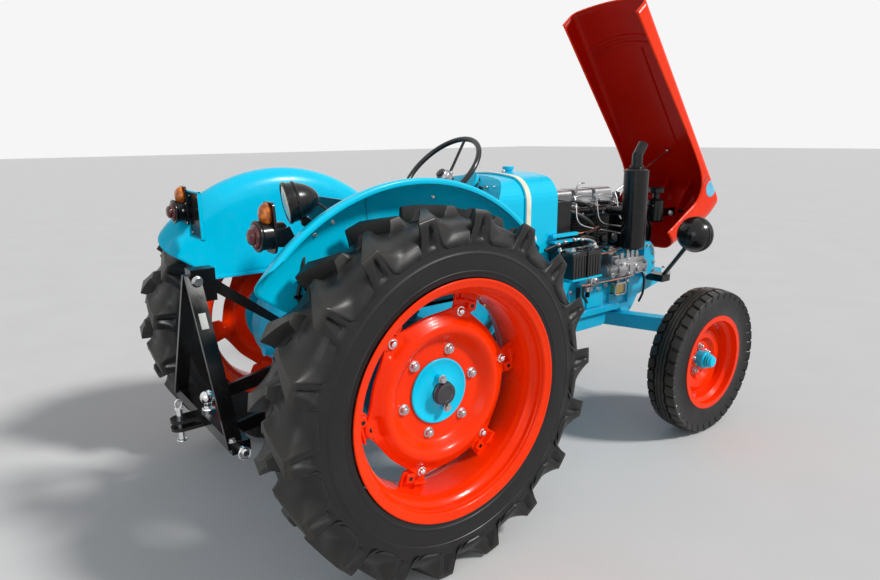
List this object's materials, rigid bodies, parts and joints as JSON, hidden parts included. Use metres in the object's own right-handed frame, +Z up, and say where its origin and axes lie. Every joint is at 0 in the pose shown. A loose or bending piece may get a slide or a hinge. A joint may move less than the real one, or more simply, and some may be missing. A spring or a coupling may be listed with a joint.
{
  "type": "vintage tractor",
  "caption": "Small open farm tractor with an air-cooled diesel engine, steered front wheels, tall driven rear wheels, and a front-hinged hood standing open.",
  "frame": {"origin": "on the ground, below the middle of the tractor's length and width with the hood open", "axes": "+Z up; the front of the tractor points along -Y, its left side along +X"},
  "size_m": [1.5014, 2.9464, 2.0039],
  "materials": {
    "black_paint": "satin",
    "bright_steel": "satin",
    "cast_black": "satin",
    "chrome": "polished",
    "cream_paint": "gloss",
    "cyan_paint": "gloss",
    "hard_plastic": "gloss",
    "orange_paint": "gloss",
    "seat_vinyl": "satin",
    "silver_alloy": "satin",
    "tyre": "matte"
  },
  "bodies": {
    "chassis": {"transmission_housing": "cyan_paint", "rear_axle_housings": "cyan_paint", "clutch_housing": "cyan_paint", "engine_block": "cyan_paint", "oil_pan": "cyan_paint", "cylinders": "cast_black", "rocker_covers": "silver_alloy", "fan_housing": "black_paint", "muffler": "black_paint", "air_cleaner": "black_paint", "injection_pump": "silver_alloy", "engine_left_side": "black_paint", "battery": "hard_plastic", "battery_tray": "cyan_paint", "front_bolster": "cyan_paint", "front_axle": "cyan_paint", "fender_left": "cyan_paint", "fender_right": "cyan_paint", "footplates": "black_paint", "pedals": "black_paint", "dash_cowl": "cyan_paint", "fuel_tank": "cyan_paint", "tank_strap": "cream_paint", "steering_column": "black_paint", "seat_frame": "black_paint", "seat_cushion": "seat_vinyl", "controls": "black_paint", "headlamps": "black_paint", "tail_lamps": "hard_plastic", "work_lamp": "black_paint", "plate_holder": "cyan_paint", "hitch_frame": "black_paint", "tow_ball": "chrome", "tow_clevis": "black_paint"},
    "rear_wheel_left": {"rear_tyre_left": "tyre", "rear_rim_left": "orange_paint", "rear_disc_left": "orange_paint", "rear_hub_left": "cyan_paint"},
    "front_wheel_set_left": {"front_tyre_left": "tyre", "front_wheel_left": "orange_paint", "front_hub_left": "cyan_paint"},
    "steering_knuckle_left": {"knuckle_left": "black_paint"},
    "rear_wheel_right": {"rear_tyre_right": "tyre", "rear_rim_right": "orange_paint", "rear_disc_right": "orange_paint", "rear_hub_right": "cyan_paint"},
    "front_wheel_set_right": {"front_tyre_right": "tyre", "front_wheel_right": "orange_paint", "front_hub_right": "cyan_paint"},
    "steering_knuckle_right": {"knuckle_right": "black_paint"},
    "tie_rod_body": {"tie_rod": "black_paint"},
    "pitman_arm_body": {"pitman_arm": "black_paint"},
    "drag_link_body": {"drag_link": "black_paint"},
    "steering_wheel_body": {"steering_wheel": "hard_plastic"},
    "hood_body": {"hood": "orange_paint"},
    "hood_stay_body": {"hood_stay": "bright_steel"}
  },
  "joints": [
    {"name": "rear_wheel_left_spin", "type": "hinge", "parent": "chassis", "child": "rear_wheel_left", "pos_m": [0.625, 0.8, 0.585], "axis": [1, 0, 0], "continuous": true},
    {"name": "rear_wheel_right_spin", "type": "hinge", "parent": "chassis", "child": "rear_wheel_right", "pos_m": [-0.625, 0.8, 0.585], "axis": [1, 0, 0], "continuous": true},
    {"name": "steer", "type": "hinge", "parent": "chassis", "child": "steering_knuckle_left", "pos_m": [0.5, -0.75, 0.489], "axis": [0, 0, 1], "range_deg": [-35, 35]},
    {"name": "steer_right", "type": "hinge", "parent": "chassis", "child": "steering_knuckle_right", "pos_m": [-0.5, -0.75, 0.489], "axis": [0, 0, 1], "range_deg": [-35, 35]},
    {"name": "front_wheel_left_spin", "type": "hinge", "parent": "steering_knuckle_left", "child": "front_wheel_set_left", "pos_m": [0.6225, -0.75, 0.34], "axis": [1, 0, 0], "continuous": true},
    {"name": "front_wheel_right_spin", "type": "hinge", "parent": "steering_knuckle_right", "child": "front_wheel_set_right", "pos_m": [-0.6225, -0.75, 0.34], "axis": [1, 0, 0], "continuous": true},
    {"name": "tie_rod_pivot", "type": "hinge", "parent": "steering_knuckle_right", "child": "tie_rod_body", "pos_m": [-0.5, -0.9, 0.384], "axis": [0, 0, 1], "range_deg": [-35, 35]},
    {"name": "pitman_swing", "type": "hinge", "parent": "chassis", "child": "pitman_arm_body", "pos_m": [0.33, -0.1, 0.815], "axis": [1, 0, 0], "range_deg": [-23.4, 23.4]},
    {"name": "drag_link_pivot", "type": "hinge", "parent": "pitman_arm_body", "child": "drag_link_body", "pos_m": [0.35, -0.1, 0.5886], "axis": [1, 0, 0], "range_deg": [-23.4, 23.4]},
    {"name": "steering_wheel_turn", "type": "hinge", "parent": "chassis", "child": "steering_wheel_body", "pos_m": [0, 0.31, 1.225], "axis": [0, 0.7071, 0.7071], "range_deg": [-420, 420]},
    {"name": "hood_hinge", "type": "hinge", "parent": "chassis", "child": "hood_body", "pos_m": [0, -1.335, 0.946], "axis": [1, 0, 0], "range_deg": [-50, 0]},
    {"name": "hood_stay_pivot", "type": "hinge", "parent": "hood_body", "child": "hood_stay_body", "pos_m": [0, -1.30032, 1.2798], "axis": [1, 0, 0], "range_deg": [0, 74]}
  ],
  "couplings": [
    {"joint": "steer_right", "follows": "steer", "ratio": 1},
    {"joint": "tie_rod_pivot", "follows": "steer", "ratio": -1},
    {"joint": "pitman_swing", "follows": "steer", "ratio": -0.66254},
    {"joint": "drag_link_pivot", "follows": "steer", "ratio": 0.66254},
    {"joint": "steering_wheel_turn", "follows": "steer", "ratio": 12},
    {"joint": "hood_stay_pivot", "follows": "hood_hinge", "ratio": -1.478}
  ]
}
